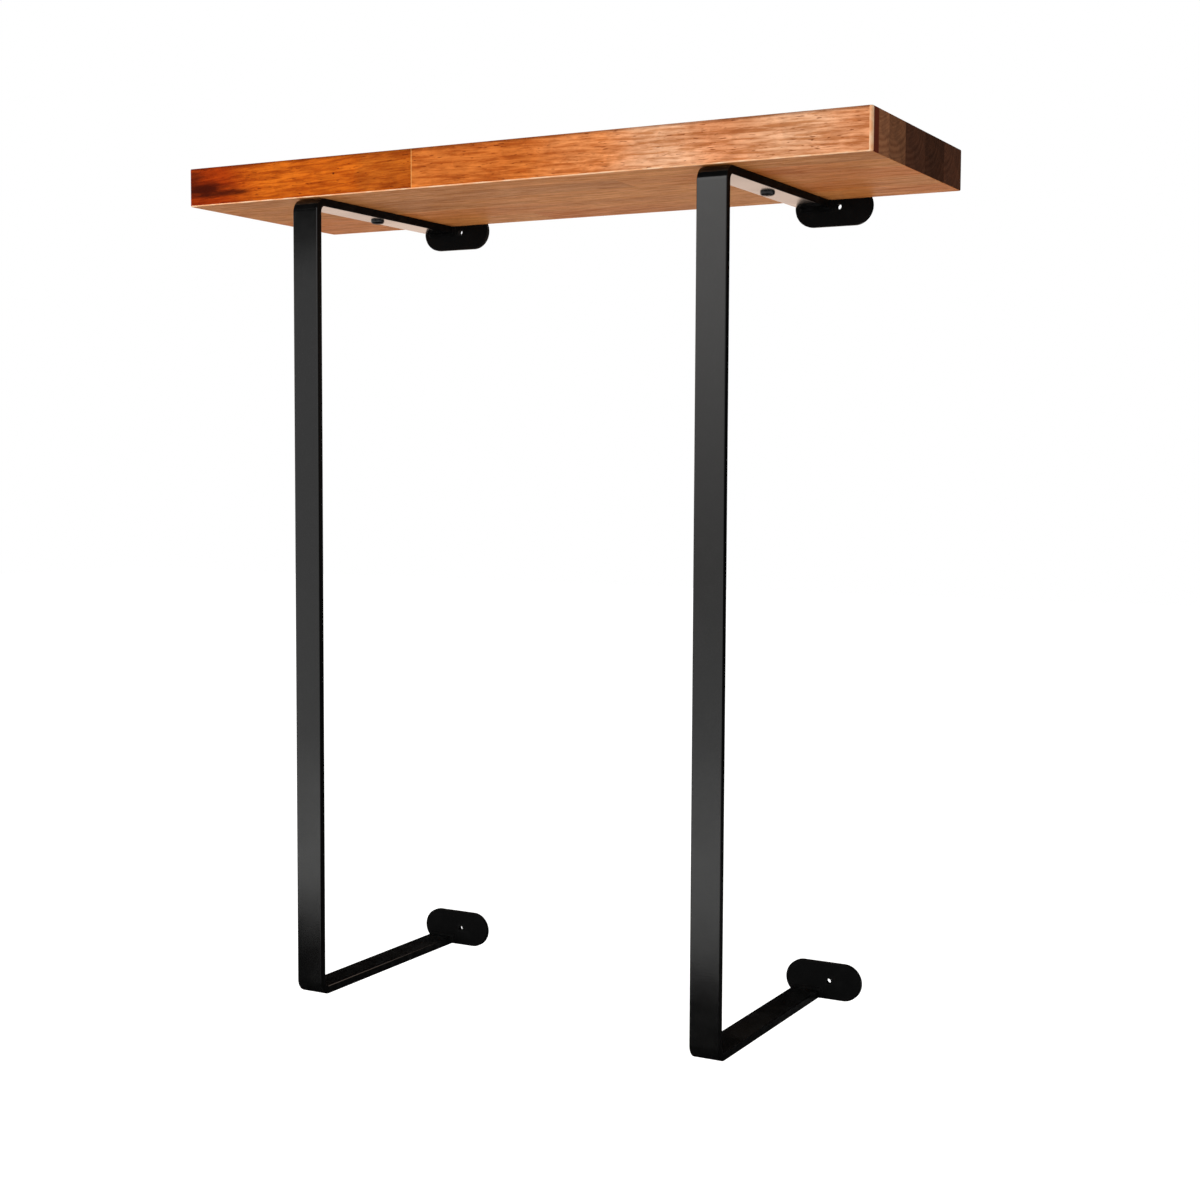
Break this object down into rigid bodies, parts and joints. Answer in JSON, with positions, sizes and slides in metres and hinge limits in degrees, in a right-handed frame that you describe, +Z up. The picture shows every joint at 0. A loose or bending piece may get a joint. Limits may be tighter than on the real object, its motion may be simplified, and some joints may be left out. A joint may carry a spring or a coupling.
{
  "type": "wall shelf with brackets",
  "caption": "Wooden wall shelf on bent flat-bar steel brackets that drop in a C shape, welded to round-ended wall plates.",
  "frame": {"origin": "on the wall surface, in the middle of the four wall screw holes", "axes": "+X to the right along the wall as seen from the room, +Y into the wall, +Z up"},
  "size_m": [0.75, 0.257, 0.855],
  "materials": {
    "oiled_wood": "oiled, satin",
    "black_steel": "satin black powder coat",
    "black_screw": "black oxide, satin"
  },
  "bodies": {
    "root": {"stave_front_left": "oiled_wood", "stave_front_right": "oiled_wood", "stave_second_left": "oiled_wood", "stave_second_right": "oiled_wood", "stave_middle_left": "oiled_wood", "stave_middle_right": "oiled_wood", "stave_fourth_left": "oiled_wood", "stave_fourth_right": "oiled_wood", "stave_rear_left": "oiled_wood", "stave_rear_right": "oiled_wood", "bracket_bar_left": "black_steel", "bracket_bar_right": "black_steel", "wall_plate_upper_left": "black_steel", "wall_plate_upper_right": "black_steel", "wall_plate_lower_left": "black_steel", "wall_plate_lower_right": "black_steel", "weld_upper_left": "black_steel", "weld_upper_right": "black_steel", "weld_lower_left": "black_steel", "weld_lower_right": "black_steel", "shelf_screw_left": "black_screw", "shelf_screw_right": "black_screw"}
  },
  "joints": []
}
